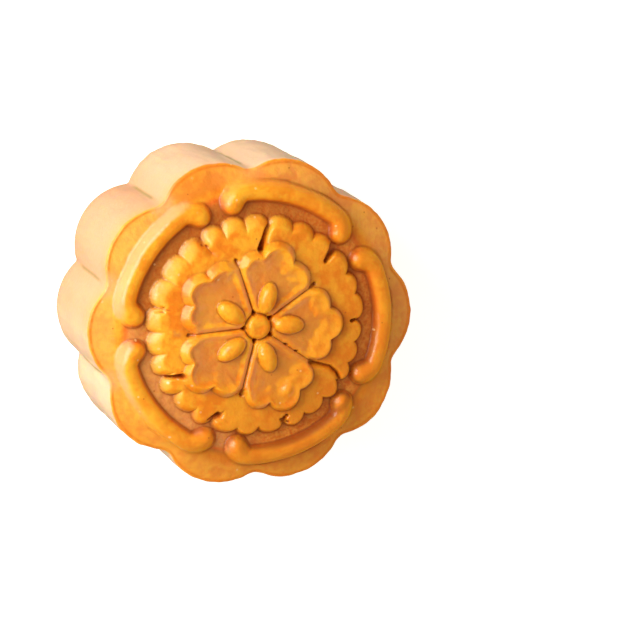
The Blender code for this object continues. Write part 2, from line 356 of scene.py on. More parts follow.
stations = ridge_stations()
section_turns = 2 * math.pi * np.arange(section_sides) / section_sides
for index in range(ridge_count):
    bpy.ops.object.select_all(action="DESELECT")
    bpy.ops.mesh.primitive_circle_add(vertices=section_sides, radius=ridge_half_width, fill_type="NOTHING")
    ridge = bpy.context.object
    ridge.name = f"ridge_{index}"
    bpy.ops.object.mode_set(mode="EDIT")
    for station in stations[1:]:
        bpy.ops.mesh.extrude_region_move()
    bpy.ops.mesh.edge_face_add()
    bpy.ops.object.mode_set(mode="OBJECT")
    points = points_of(ridge.data)
    for step, (centre, heading, half_width, height, knob) in enumerate(stations):
        fullness = np.where(np.cos(section_turns) > 0, outer_fullness, inner_fullness)
        fullness = fullness * (1 - knob) + knob_fullness * knob
        across = rounded(np.cos(section_turns), fullness)
        upward = rounded(np.sin(section_turns), fullness)
        lean = np.maximum(upward, 0.0) * ridge_lean * (1 - knob)
        run = slice(step * section_sides, (step + 1) * section_sides)
        points[run, :2] = centre + unit(heading - math.pi / 2) * (across * half_width + lean)[:, None]
        points[run, 2] = rim_height + upward * height
    place_points(ridge.data, points)
    mirror = ridge.modifiers.new("other_half", "MIRROR")
    mirror.use_axis = (False, True, False)
    mirror.merge_threshold = 0.01 * MM
    bpy.ops.object.modifier_apply(modifier=mirror.name)
    ridge.rotation_euler.z = 2 * math.pi * index / ridge_count
    bpy.ops.object.transform_apply(location=True, rotation=True, scale=True)
    forms.append(ridge)


# The back flower: one thick leaf of dough edged with fluted scallops in threes, with a slit between one
# three and the next. Its side leans inwards up to a scalloped brow round the flat top, and leans most where
# it faces the light.
slit_angles = [math.radians(a) for a in (82, 121, 166, 205, 243, 285, 323, 359, 401)]
scallop_crest = 26.2 * MM
scallop_notch = 24.7 * MM
slit_notch = 24.2 * MM
scallop_round = 3.3 * MM
least_arc_share = 1.02
flower_height = 4.1 * MM
flower_foot = rim_height + dome_height - 0.3 * MM
flower_sides = 720
flower_wide_side = math.radians(140.0)
flower_slope = 0.62
flower_slope_swing = 0.68
flower_least_slope = 0.28

# How uneven the scallops are: the drift of a notch in degrees, and its reach and a crest's in millimetres.
notch_drift = 0.9
notch_uneven = (-0.25, 0.3)
crest_uneven = (-0.25, 0.2)
uneven = np.random.default_rng(5)

# How far in from the foot, in millimetres where the slope is 1, and what share of the height.
flower_profile = [(0.0, 0.0), (0.12, 0.24), (0.5, 0.42), (1.1, 0.6), (1.7, 0.76), (2.3, 0.9), (2.7, 0.97),
                  (3.1, 1.0), (5.0, 1.0)]


def flower_outline():
    """Reach of the back flower's foot for each bearing: rounded scallops, each a little different."""
    bearings = 2 * math.pi * np.arange(flower_sides) / flower_sides
    reach = np.zeros(flower_sides)
    following_angles = slit_angles[1:] + [slit_angles[0] + 2 * math.pi]
    for angle, following in zip(slit_angles, following_angles):
        marks = angle + (following - angle) * np.array([0.0, 1 / 3, 2 / 3, 1.0])
        marks[1:3] += np.radians(uneven.uniform(-notch_drift, notch_drift, 2))
        notches = np.array([slit_notch, scallop_notch, scallop_notch, slit_notch])
        notches[1:3] += uneven.uniform(*notch_uneven, 2) * MM
        for j in range(3):
            crest = scallop_crest + uneven.uniform(*crest_uneven) * MM
            share = (bearings - marks[j]) % (2 * math.pi) / (marks[j + 1] - marks[j])
            own = share < 1.0001
            level = notches[j] + (notches[j + 1] - notches[j]) * share
            half_chord = scallop_crest * (marks[j + 1] - marks[j]) / 2
            arc_radius = max(scallop_round, half_chord * least_arc_share)
            drop = arc_radius - math.sqrt(arc_radius**2 - half_chord**2)
            arc = np.sqrt(np.maximum(arc_radius**2 - (half_chord * (2 * share - 1)) ** 2, 0.0))
            swell = 1 - (arc_radius - arc) / drop
            reach[own] = (level + (crest - level) * swell)[own]
    return bearings, reach


def lofted(name, rings, heights):
    """A closed form of rings laid one above the other and filled over the top."""
    bpy.ops.object.select_all(action="DESELECT")
    sides = len(rings[0])
    bpy.ops.mesh.primitive_circle_add(vertices=sides, radius=MM, fill_type="NOTHING")
    form = bpy.context.object
    form.name = name
    bpy.ops.object.mode_set(mode="EDIT")
    for ring in rings[1:]:
        bpy.ops.mesh.extrude_region_move()
    bpy.ops.mesh.extrude_region_move()
    bpy.ops.mesh.merge(type="CENTER")
    bpy.ops.object.mode_set(mode="OBJECT")
    points = points_of(form.data)
    for level, (ring, height) in enumerate(zip(rings, heights)):
        run = slice(level * sides, (level + 1) * sides)
        points[run, :2] = ring
        points[run, 2] = height
    points[-1] = (*rings[-1].mean(axis=0), np.mean(heights[-1]))
    place_points(form.data, points)
    return form


bearings, reach = flower_outline()
slope_width = flower_slope + flower_slope_swing * np.cos(bearings - flower_wide_side)
slope_width = np.maximum(slope_width, flower_least_slope)
rings, heights = [], []
for inset, share in flower_profile:
    radius = reach - inset * slope_width * MM
    rings.append(np.stack([radius * np.cos(bearings), radius * np.sin(bearings)], 1))
    heights.append(flower_foot + (rim_height + flower_height - flower_foot) * share)
forms.append(lofted("back_flower", rings, heights))


# The front flower: five petals of dough with three scallops each. A petal has a soft outer slope, a raised
# rim and a dished middle, and its flanks stand close to its neighbours' across a fine groove.
petal_angles = [math.radians(a) for a in (-2, 73, 147, 216.5, 290)]
groove_angles = [math.radians(a) for a in (33, 107, 183, 255, 324)]

# How far each petal reaches from the axis, in millimetres: its middle scallop, and its left and right ones.
petal_tips = [20.85, 20.5, 20.65, 21.6, 21.7]
petal_sides = [(18.4, 18.9), (17.8, 17.8), (18.65, 18.3), (18.3, 19.4), (19.3, 19.6)]
groove_half_width = 0.12 * MM
petal_tip_round = 4.3 * MM
petal_notch_angle = math.radians(13.0)
petal_notch_depth = 0.3 * MM
notch_power = 2.5
side_power = 2.6
petal_side_angle = math.radians(20.0)
petal_half_angle = math.radians(36.0)
petal_corner = 14.7 * MM
petal_heel = 3.2 * MM
petal_heel_round = 1.3 * MM
petal_heel_taper = 0.35
petal_heart = 9.0 * MM
petal_floor = 4.6 * MM
petal_wide_side = math.radians(150.0)
petal_slope = 0.75
petal_slope_swing = 0.33
petal_dish = 0.72
petal_dish_swing = 0.2
petal_brow = 2.0
petal_top = 5.8
easing_start = 1.1
easing_rounds = 9
flank_share = 0.5
edge_points = 52
flank_points = 18
heel_points = 8

# From the petal's foot to its middle: how far in from the edge, and how high above the rim plane at the
# outer edge and at the flanks, in millimetres.
petal_profile = [(0.0, 3.3, 4.3), (0.12, 4.1, 4.6), (0.5, 4.5, 4.8), (1.0, 4.95, 4.95), (1.4, 5.35, 5.05),
                 (1.8, 5.7, 5.1), (2.0, 5.8, 5.1), (2.2, 5.75, 5.05), (2.5, 5.45, 5.0), (2.9, 5.05, 4.9),
                 (3.4, 4.8, 4.8), (4.1, 4.65, 4.7)]


def petal_edge(angle, tip, side):
    """Distance from the axis to the petal's outer edge, at an angle off its middle line: the middle scallop,
    then the side one, which meets it at the notch."""
    centre = tip - petal_tip_round

    def middle_scallop(turn):
        return centre * math.cos(turn) + math.sqrt(petal_tip_round**2 - (centre * math.sin(turn)) ** 2)

    if angle < petal_notch_angle:
        return middle_scallop(angle)
    if angle < petal_side_angle:
        notch = min(middle_scallop(petal_notch_angle), side - petal_notch_depth)
        share = (petal_side_angle - angle) / (petal_side_angle - petal_notch_angle)
        return side - (side - notch) * share**notch_power
    share = (angle - petal_side_angle) / (petal_half_angle - petal_side_angle)
    return side - (side - petal_corner) * share**side_power


def half_petal(tip, side):
    """Points of one half from tip to heel: distance from the axis, angle off the middle line, and how far the
    point keeps back from the groove."""
    half = []
    for i in range(edge_points + 1):
        angle = petal_half_angle * i / edge_points
        half.append((petal_edge(angle, tip, side), angle, 0.0))
    for i in range(1, flank_points + 1):
        flank = petal_corner + (petal_heel + petal_heel_round - petal_corner) * i / flank_points
        half.append((flank, petal_half_angle, groove_half_width * min(i / 2, 1.0)))
    for i in range(1, heel_points + 1):
        turn = math.pi / 2 * i / heel_points
        flank = petal_heel + petal_heel_round * (1 - math.sin(turn))
        angle = petal_half_angle * (1 - petal_heel_taper * (1 - math.cos(turn)))
        half.append((flank, angle, groove_half_width))
    return half


def petal_outline(tip, sides, shares):
    """Points round a petal along +X, the way inwards at each, and how far it is a flank. The shares widen or
    narrow the left and right sides. The outer edge draws in towards the heart, and the flanks draw in
    straight and less."""
    outline, inward, flanks = [], [], []
    heel_start = edge_points + flank_points
    for side, share, sign in zip(sides, shares, (1, -1)):
        half = half_petal(tip, side)
        straight = unit(petal_half_angle * share - math.pi / 2)
        for i, (radius, angle, gap) in enumerate(half):
            spot = unit(angle * share - gap / radius) * radius
            to_heart = np.array([petal_heart, 0.0]) - spot
            to_heart /= np.linalg.norm(to_heart)
            along_flank = smooth_step(float(i), edge_points - 7.0, edge_points + 4.0)
            at_heel = smooth_step(float(i), heel_start - 3.0, heel_start + 4.0)
            way = to_heart * (1 - along_flank) + straight * along_flank
            way = way * (1 - at_heel) + to_heart * at_heel
            way *= (1 + (flank_share - 1) * along_flank) / np.linalg.norm(way)
            if i or sign > 0:
                outline.append(spot * (1, sign))
                inward.append(way * (1, sign))
                flanks.append(along_flank)
    count = len(half)
    return [np.array(values[:count] + values[count:][::-1]) for values in (outline, inward, flanks)]


for index, middle in enumerate(petal_angles):
    left_room = groove_angles[index] - middle
    right_room = (middle - groove_angles[index - 1]) % (2 * math.pi)
    outline, inward, flanks = petal_outline(
        petal_tips[index] * MM, [side * MM for side in petal_sides[index]],
        (left_room / petal_half_angle, right_room / petal_half_angle),
    )
    facing_light = np.cos(np.arctan2(outline[:, 1], outline[:, 0]) + middle - petal_wide_side)
    slope_width = (petal_slope + petal_slope_swing * facing_light) * (1 - flanks) + flanks
    dish_depth = petal_dish + petal_dish_swing * facing_light
    dish_width = (petal_profile[-1][0] - petal_brow * slope_width) / (petal_profile[-1][0] - petal_brow)
    rings, heights = [], []
    for inset, edge_height, flank_height in petal_profile:
        if inset > petal_brow:
            edge_height = petal_top - (petal_top - edge_height) * dish_depth
        heights.append(rim_height + (edge_height + (flank_height - edge_height) * flanks) * MM)
        drawn_in = min(inset, petal_brow) * slope_width + max(inset - petal_brow, 0.0) * dish_width
        ring = outline + inward * drawn_in[:, None] * MM
        for _ in range(max(int((inset - easing_start) * easing_rounds), 0)):
            ring = (np.roll(ring, 1, axis=0) + 2 * ring + np.roll(ring, -1, axis=0)) / 4
        rings.append(ring)
    innermost = rings[-1]
    heart = innermost.mean(axis=0)
    for share in (0.6, 0.25):
        rings.append(heart + (innermost - heart) * share)
        heights.append(rim_height + petal_floor)
    petal = lofted(f"petal_{index}", rings, heights)
    petal.rotation_euler.z = middle
    bpy.ops.object.transform_apply(location=True, rotation=True, scale=True)
    forms.append(petal)


# The seeds and the button: five plump ovals of dough that lie in the petals, and a round button with a
# dimple in the middle of the flower, all pressed with the rest. A seed is its distance from the axis in
# millimetres, its bearing, and how far it is turned away from that, in degrees.
seeds = [(7.2, 0, -7), (6.9, 71, 2), (7.4, 150, -8), (8.0, 217, -4), (7.5, 285, 5)]
seed_size = (3.85 * MM, 2.25 * MM, 2.6 * MM)
seed_height = 4.3 * MM
button_sides = 64

# From the button's foot to its dimple: how far from the axis and how high above the rim plane, in
# millimetres.
button_profile = [(2.95, 3.5), (2.93, 4.6), (2.75, 5.2), (2.45, 5.65), (2.05, 5.92), (1.6, 6.02), (1.1, 5.98),
                  (0.5, 5.88)]

for index, (distance, bearing, lean) in enumerate(seeds):
    bpy.ops.object.select_all(action="DESELECT")
    bpy.ops.mesh.primitive_uv_sphere_add(segments=40, ring_count=20, radius=1.0)
    seed = bpy.context.object
    seed.name = f"seed_{index}"
    seed.scale = seed_size
    seed.rotation_euler.z = math.radians(bearing + lean)
    seed.location = (*unit(math.radians(bearing)) * distance * MM, rim_height + seed_height)
    bpy.ops.object.transform_apply(location=True, rotation=True, scale=True)
    forms.append(seed)
bearings = 2 * math.pi * np.arange(button_sides) / button_sides
rings = [np.stack([np.cos(bearings), np.sin(bearings)], 1) * reach * MM for reach, height in button_profile]
forms.append(lofted("button", rings, [rim_height + height * MM for reach, height in button_profile]))


# Pressing: the crust is laid over the mould's forms and drawn down onto them, then eased as soft dough is.
# The ridges run out softly into the lobes on their outer side.
press_height = 12.0 * MM
pressed_inset = 0.9 * MM
run_out_radius = 32.0 * MM
run_out_height = 1.2 * MM


def select_only(item):
    bpy.ops.object.select_all(action="DESELECT")
    item.select_set(True)
    bpy.context.view_layer.objects.active = item


def group_of(name, chosen):
    """A vertex group of the crust's chosen points."""
    group = crust.vertex_groups.new(name=name)
    group.add([int(i) for i in np.nonzero(chosen)[0]], 1.0, "REPLACE")
    return group.name


def eased(name, group, rounds):
    """Evens out the crust within a group."""
    select_only(crust)
    ease = crust.modifiers.new(name, "SMOOTH")
    ease.factor = 0.5
    ease.iterations = rounds
    ease.vertex_group = group
    bpy.ops.object.modifier_apply(modifier=ease.name)


mould_floor = crust.copy()
mould_floor.data = crust.data.copy()
bpy.context.scene.collection.objects.link(mould_floor)
select_only(mould_floor)
for form in forms:
    form.select_set(True)
bpy.ops.object.join()
mould = bpy.context.object
mould.name = "mould"

pressed = on_face & (from_lip > pressed_inset)
pressed_group = group_of("pressed", pressed)
points = points_of(crust.data)
points[pressed, 2] = rim_height + press_height
place_points(crust.data, points)
select_only(crust)
press = crust.modifiers.new("press", "SHRINKWRAP")
press.target = mould
press.wrap_method = "PROJECT"
press.use_project_z = True
press.use_project_x = press.use_project_y = False
press.use_positive_direction = False
press.use_negative_direction = True
press.vertex_group = pressed_group
bpy.ops.object.modifier_apply(modifier=press.name)
bpy.data.objects.remove(mould)
eased("ease", pressed_group, 1)
points = points_of(crust.data)
run_out = pressed & (radii > run_out_radius) & (points[:, 2] < floor_heights + run_out_height)
eased("foot_ease", group_of("outer_foot", run_out), 8)


# Cuts and marks in the moulded crust: slits between the threes of scallops, grooves between petals with a pit
# at each heel, nicks and thin creases are drawn down into the pressed sheet, and one petal has a swelling.
points = points_of(crust.data)


def cut(path, widths, banks, floors, roundness):
    """Draws the sheet down along a path of (distance from the axis, bearing) places. Half-width and floor run
    from the first value at the path's start to the second at its end. The banks are those at its right and at
    its left, and roundness 1 makes them flat. Sizes are in millimetres, and floors are over the rim plane."""
    spots = [unit(math.radians(bearing)) * distance * MM for distance, bearing in path]
    runs = [last - first for first, last in zip(spots, spots[1:])]
    lengths = [float(np.hypot(*run)) for run in runs]
    apart = np.full(len(points), np.inf)
    along = np.zeros(len(points))
    leftward = np.zeros(len(points))
    for index, (first, run) in enumerate(zip(spots, runs)):
        offset = points[:, :2] - first
        share = np.clip(offset @ run / max(run @ run, 1e-12), 0.0, 1.0)
        gap = np.hypot(*(offset - share[:, None] * run).T)
        nearer = gap < apart
        apart[nearer] = gap[nearer]
        along[nearer] = ((sum(lengths[:index]) + share * lengths[index]) / sum(lengths))[nearer]
        leftward[nearer] = (run[0] * offset[:, 1] - run[1] * offset[:, 0])[nearer]
    half_width = (widths[0] + (widths[1] - widths[0]) * along) * MM
    level = rim_height + (floors[0] + (floors[1] - floors[0]) * along) * MM
    bank = np.where(leftward > 0, banks[1], banks[0]) * MM
    near = pressed & (apart < half_width + bank) & (points[:, 2] > level)
    keep = np.clip((apart - half_width) / bank, 0.0, 1.0)[near]
    keep = 1 - (1 - keep) ** roundness
    points[near, 2] = level[near] + (points[near, 2] - level[near]) * keep


# The open slits: a pit and a curved gash at 85 degrees, a curved slit at 207, a hooked one at 325, a short
# one at 242, and a notch at 41.
cut([(18.0, 86.6), (19.8, 85.7)], (0.5, 0.25), (0.5, 0.4), (0.8, 1.2), 1.5)
cut([(19.2, 85.9), (20.4, 85.2), (22.5, 83.9), (24.6, 81.1), (26.2, 79.4)],
    (0.14, 0.02), (1.5, 0.5), (1.5, 3.0), 1.7)
cut([(20.6, 210.0), (22.2, 207.8), (24.1, 205.6), (26.2, 203.4)], (0.34, 0.02), (0.4, 0.7), (0.8, 3.0), 2.0)
cut([(16.0, 323.7), (18.6, 326.6), (20.8, 328.2), (23.0, 327.2), (24.8, 324.4), (25.8, 321.6), (26.4, 320.0)],
    (0.12, 0.08), (1.3, 0.5), (2.6, 2.2), 2.0)
cut([(22.3, 244.2), (24.5, 240.4)], (0.3, 0.03), (0.5, 1.5), (1.4, 2.6), 1.8)
cut([(21.9, 40.2), (23.6, 41.3), (25.4, 42.3)], (0.2, 0.8), (0.6, 0.5), (1.3, 1.8), 1.6)

# The closed slits: a small pit or a crack, with nicks beside some.
cut([(23.2, 285.9), (23.9, 284.8)], (0.25, 0.35), (0.5, 0.5), (2.3, 2.4), 2.0)
cut([(23.8, 284.8), (26.2, 283.6)], (0.1, 0.1), (0.9, 0.9), (2.6, 2.2), 1.8)
for distance, bearing in ((22.7, 287.2), (23.3, 283.4), (24.3, 286.6)):
    cut([(distance, bearing), (distance + 0.2, bearing + 0.6)], (0.12, 0.12), (0.4, 0.4), (2.8, 2.8), 1.8)
cut([(23.0, 358.7), (23.9, 359.2)], (0.2, 0.1), (0.4, 0.4), (1.6, 2.2), 1.6)
cut([(23.9, 359.2), (26.2, 359.6)], (0.03, 0.03), (0.7, 0.7), (3.2, 2.4), 1.8)
cut([(20.6, 120.6), (23.0, 121.4), (26.2, 122.3)], (0.03, 0.1), (1.6, 1.6), (3.3, 2.0), 1.6)
for distance, bearing in ((22.2, 120.4), (23.0, 122.4), (24.0, 120.9)):
    cut([(distance, bearing), (distance + 0.3, bearing + 0.4)], (0.08, 0.08), (0.35, 0.35), (2.6, 2.6), 2.0)
for bearing in (165.0, 167.6):
    cut([(22.6, bearing), (24.2, bearing + 0.8), (25.8, bearing - 0.3)],
        (0.03, 0.03), (0.5, 0.5), (3.2, 2.8), 2.0)

# The grooves between petals, each with a pit at its outer end and at its heel, and the one round the button.
for angle in groove_angles:
    bearing = math.degrees(angle)
    cut([(3.6, bearing), (15.4, bearing)], (0.02, 0.02), (0.3, 0.3), (4.2, 4.3), 2.0)
    cut([(15.3, bearing), (16.4, bearing)], (0.06, 0.16), (0.4, 0.6), (3.8, 3.1), 1.6)
    cut([(3.35, bearing), (3.9, bearing)], (0.28, 0.05), (0.4, 0.4), (1.6, 2.8), 2.0)
button_groove = [(3.12, 360 * i / 48) for i in range(49)]
cut(button_groove, (0.02, 0.02), (0.3, 0.3), (4.1, 4.1), 2.0)
for distance, bearing in ((7.9, 324.5), (11.0, 324.2)):
    cut([(distance, bearing), (distance + 0.5, bearing + 1.5)], (0.08, 0.05), (0.3, 0.3), (3.2, 3.6), 2.0)

# A thin crease runs along the outer foot of some ridges: the ridge's bearing, and where the crease starts
# and ends.
crease_radius = 33.65 * MM
crease_wave = 0.2 * MM
crease_depth = 0.55 * MM
crease_half_width = 0.5 * MM
for middle, first, last in ((72, -25, 17), (288, -20, 23), (0, -20, 20), (216, 2, 24)):
    off_middle = (np.degrees(angles) - middle + 180) % 360 - 180
    run = smooth_step(off_middle, first, first + 5) * (1 - smooth_step(off_middle, last - 5, last))
    beside = np.abs(radii - crease_radius - crease_wave * np.sin(np.radians(off_middle * 17)))
    depth = crease_depth * run * np.clip(1 - beside / crease_half_width, 0.0, 1.0) ** 1.5
    points[pressed, 2] -= depth[pressed]

# A low swelling of dough lies on one petal.
swelling_place = unit(math.radians(293.5)) * 16.6 * MM
swelling_reach = 1.5 * MM
swelling_height = 1.0 * MM
from_swelling = np.hypot(*(points[:, :2] - swelling_place).T)
points[pressed, 2] += swelling_height * np.exp(-((from_swelling[pressed] / swelling_reach) ** 2))

# Nothing baked is quite even: the walls and the relief swell and sink by a fraction of a millimetre, in
# broad, close and fine waves. Each wave is its height, its pattern's scale and a shift of the pattern.
waves = [
    (0.2 * MM, 130.0, (0.0, 0.0, 0.0)),
    (0.11 * MM, 420.0, (7.0, 3.0, 1.0)),
    (0.045 * MM, 1000.0, (2.0, 9.0, 4.0)),
]
lip_share = 0.4
wall_share = 1.5
outward = np.stack([np.cos(angles), np.sin(angles)], 1)
for i, spot in enumerate(points):
    wobble = sum(size * noise.noise(Vector(spot) * scale + Vector(shift)) for size, scale, shift in waves)
    if on_face[i]:
        spot[2] += wobble * (1.0 if pressed[i] else lip_share)
    elif spot[2] > foot_round:
        spot[:2] += outward[i] * wobble * wall_share
place_points(crust.data, points)


# What baking and glazing did to the crust, and the light and shade painted on it, kept on the sheet as
# shares from 0 to 1 that the finish reads: where it is pale, browned, golden or glinting, and where painted
# light and painted shade lie. In this section sizes are in millimetres.
above = (points[:, 2] - rim_height) / MM
ring = radii / MM
inset = from_lip / MM
edges = np.empty(len(crust.data.edges) * 2, dtype=int)
crust.data.edges.foreach_get("vertices", edges)
edges = edges.reshape(-1, 2)
links = np.bincount(edges.ravel(), minlength=len(points)).astype(float)
normals = np.empty(len(points) * 3)
crust.data.vertices.foreach_get("normal", normals)
normals = normals.reshape(-1, 3)


def blurred(values, rounds):
    """Evens out a value on the sheet with its neighbours, many times over."""
    for _ in range(rounds):
        total = np.bincount(edges[:, 0], weights=values[edges[:, 1]], minlength=len(values))
        total += np.bincount(edges[:, 1], weights=values[edges[:, 0]], minlength=len(values))
        values = (values + total / links) / 2
    return values


def keep_on_sheet(name, values, area):
    layer = crust.data.attributes.new(name, "FLOAT", "POINT")
    layer.data.foreach_set("value", np.where(area, values, 0.0).astype(np.float32))


def falling(value, start, end):
    return 1 - smooth_step(value, start, end)


def towards(bearing, spots=points / MM):
    """How far each point, or each normal, reaches from the axis towards a bearing in degrees."""
    return spots[:, :2] @ unit(math.radians(bearing))


anywhere = np.ones(len(points), dtype=bool)
off_face = ~on_face
to_right = towards(0)
to_left = towards(180)
soft_facing = blurred(towards(155, normals), 2)
left_part = smooth_step(to_left, -2, 22)

# Hollows and brows: how far a point lies under or over the sheet round it. Hollows and creases get painted
# shade, the hollows most towards the picture's top right, away from the light, and least on the petals.
sunk = blurred(above, 60) - above
on_petal = (ring < 20) & (above > 4.2)
inside_ridges = falling(ring, 30, 32)
# Painted shade in the hollows, most towards the top right, away from the light.
hollow_shade_share = (0.65 + 0.7 * smooth_step(towards(59.5), -15.2, 20.3)) * np.where(on_petal, 0.25, 1.0)
keep_on_sheet("hollow", np.clip(sunk / 0.55, 0.0, 1.0) * inside_ridges * hollow_shade_share, pressed)
brow = np.clip(-sunk / 0.35, 0.0, 1.0)
keep_on_sheet("brow", brow, pressed)
# Painted shade in the creases, and outside the ridges at the picture's right, away from the light.
crease_shade_share = np.clip((blurred(above, 8) - above) / 0.14 - 0.3, 0.0, 1.0)
outside_ridges = falling(ring, 34.2, 34.8) * smooth_step(towards(-16.7), -11.5, 0)
keep_on_sheet("painted_crease_shade", crease_shade_share * np.maximum(inside_ridges, 0.7 * outside_ridges), pressed)

# The recess between the flower and the ridges: browner and sandy, partly its own bake and partly painted
# shade, with a painted shadow at the top, tan at the lower left, and painted shade darker along its edges.
# The feet of the ridges get painted shade too, and most of all the inner side of one ridge, as a painted
# shadow.
on_floor = falling(above, 2.1, 2.9) * smooth_step(above, 0.2, 1.6)
recess = blurred(np.where(on_face, falling(ring, 29.5, 31.5) * on_floor, 0.0), 3)
keep_on_sheet("recess", recess, anywhere)
# A painted shadow on the recess at the top.
keep_on_sheet("painted_recess_shadow", recess * smooth_step(towards(115), 3, 23), anywhere)
keep_on_sheet("tan_recess", recess * smooth_step(towards(220), 14, 26), anywhere)
beyond_flower = smooth_step(ring, 26.3, 27.3)
# Painted shade in a line along the recess's edges, strongest at the ridges' foot.
painted_foot_shade = 4 * recess * (1 - recess) * (0.4 + 0.6 * beyond_flower)
keep_on_sheet("painted_foot_shade", painted_foot_shade * smooth_step(ring, 23, 24) * falling(ring, 28.9, 29.8), anywhere)
# Painted shade at the feet of the ridges.
by_recess = blurred(recess, 14) * (1 - recess) * beyond_flower
keep_on_sheet("painted_ridge_foot_shade", np.clip(by_recess / 0.35, 0.0, 1.0), pressed)
# A painted shadow on the inner side of the ridge at the picture's bottom.
at_shadowed_ridge = smooth_step(np.cos(angles - math.radians(297)), 0.88, 0.99)
keep_on_sheet("painted_ridge_shadow", at_shadowed_ridge * smooth_step(ring, 28.2, 28.8) * falling(ring, 29.4, 30.5), on_face)

# The wall, painted shade in the narrow grooves where its lobes meet, and the browned lip. The wall's pale
# crust comes over the lip at the left cusps, and the walls that turn away from the light are painted paler,
# as painted light.
wall_top = -0.45
off_cusp = (cusp_angle - np.abs((angles + cusp_angle) % (2 * cusp_angle) - cusp_angle)) * ring
at_cusp = falling(off_cusp, 1.2, 4.2) * falling(inset, 0.5, 4.0)
at_cusp *= 1 - np.maximum(smooth_step(to_right, 4, 18), smooth_step(towards(270), 5, 25))
over_lip = 0.45 * at_cusp * (1 - 0.7 * smooth_step(to_right, -18, -4))
keep_on_sheet("wall", blurred(np.where(above > wall_top, over_lip, 1.0), 1), anywhere)
lip = smooth_step(inset, 0.2, 0.5) * falling(inset, 0.75, 1.2)
lip_edge = 0.4 * (inset < 0.25)
keep_on_sheet("lip", np.maximum(lip, lip_edge) * (1 - at_cusp), above > wall_top)
climb = points[:, 2] / rim_height
# Painted shade in the narrow grooves where the wall's lobes meet.
painted_seam_shade = falling(off_cusp, 0.15, 0.5) * smooth_step(climb, 0.15, 0.3) * falling(climb, 0.72, 0.88)
keep_on_sheet("painted_seam_shade", painted_seam_shade, off_face)
keep_on_sheet("near_rim", smooth_step(above, -7, 0), off_face)
# Painted light on the walls that turn away from the light: the top ones and the lower left ones.
painted_far_wall_light = np.maximum(smooth_step(towards(75), 21.9, 38.8), smooth_step(towards(219.7), 26, 36))
keep_on_sheet("painted_far_wall_light", painted_far_wall_light, off_face)

# The face: painted shade darkens it towards the front and at the right, away from the light, and it is
# browner at one notch. Painted light makes it paler at the left, towards the light, and it is a little tan on
# the lobes.
round_notch = np.exp(-(((np.degrees(angles) - 112) / 14) ** 2))
# Painted shade towards the front and the right, away from the light, and a browner notch.
browned_and_shaded = np.maximum(smooth_step(towards(-60), 0, 26), 1.2 * round_notch * smooth_step(ring, 31, 34))
browned_and_shaded = np.maximum(browned_and_shaded, 0.5 * smooth_step(to_right, 2, 18)) * (1 - 0.5 * smooth_step(ring, 33, 35))
keep_on_sheet("browned_and_shaded", browned_and_shaded * (1 - recess), anywhere)
# Painted light makes the face paler at the left, towards the light.
keep_on_sheet("paler", smooth_step(towards(195), -12, 40) * smooth_step(ring, 30, 34), anywhere)
on_lobe = smooth_step(ring, 32, 34.5) * (1 - 0.8 * round_notch)
keep_on_sheet("lobe", on_lobe * (0.3 + 0.7 * smooth_step(towards(90), -25, 5)), on_face)

# The relief: painted sheen and painted golden light on the slopes towards the light, painted glints on their
# brows, and a painted glow on the ridges' slopes away from it. The petals' dishes get painted shade where
# they face away from the light, with a painted fill light over that shade.
# Painted sheen on the slopes that face the light, at the picture's left.
inner_share = 0.12 + 0.2 * smooth_step(ring, 21, 22.5)
outer_share = 0.68 * smooth_step(ring, 26.5, 28)
painted_sheen = smooth_step(soft_facing, 0.3, 0.7) * left_part * (inner_share + outer_share)
keep_on_sheet("painted_sheen", painted_sheen, on_face)
# Painted golden light on the flower's slopes that face the light.
painted_golden_light = smooth_step(soft_facing, 0.1, 0.45) * smooth_step(towards(150), 0, 12)
keep_on_sheet("painted_golden_light", painted_golden_light * smooth_step(ring, 21, 22.5) * falling(ring, 26.5, 28), on_face)
# Painted glints on the petals' brows that face the light.
painted_glint = brow * smooth_step(ring, 17, 19) * smooth_step(soft_facing, 0.05, 0.3) * left_part
keep_on_sheet("painted_glint", painted_glint, pressed)
# A painted glow of orange light on the ridges' slopes that face away from the light.
keep_on_sheet("painted_glow_in_shade", smooth_step(-soft_facing, 0.2, 0.6) * smooth_step(ring, 27, 28), on_face)
in_petal = on_petal & (ring > 4)
# Painted shade in the petals' dishes, where they face away from the light.
dish = blurred(in_petal * falling(above, 4.9, 5.4), 4) * falling(soft_facing, 0.03, 0.2)
keep_on_sheet("dish", dish, anywhere)
# Painted fill light over the shaded slopes of the petals' dishes.
painted_dish_fill = blurred(in_petal * smooth_step(-soft_facing, 0.03, 0.25) * (above < 5.7), 2)
keep_on_sheet("painted_dish_fill", painted_dish_fill, anywhere)


# The crust's finish: thin pastry, pale on the walls, brushed with egg on the face and baked golden there. It
# is browner in the recess, partly as painted shade, with a sandy grain, pinholes and a few pale specks, and
# the light and shade painted on the sheet are laid over it.
bake = bpy.data.materials.new("baked_crust")
bake.use_nodes = True
nodes, wires = bake.node_tree.nodes, bake.node_tree.links
shader = nodes["Principled BSDF"]
shader.inputs["Subsurface Weight"].default_value = 0.5
shader.inputs["Subsurface Radius"].default_value = (1.0, 0.35, 0.1)
shader.inputs["Subsurface Scale"].default_value = 0.0017
shader.inputs["Specular IOR Level"].default_value = 0.22
shader.inputs["Coat Weight"].default_value = 0.6
shader.inputs["Coat Roughness"].default_value = 0.2
on_crust = nodes.new("ShaderNodeTexCoord").outputs["Object"]


def grain(scale, detail, roughness=0.5):
    node = nodes.new("ShaderNodeTexNoise")
    node.inputs["Scale"].default_value = scale
    node.inputs["Detail"].default_value = detail
    node.inputs["Roughness"].default_value = roughness
    wires.new(on_crust, node.inputs["Vector"])
    return node.outputs["Fac"]


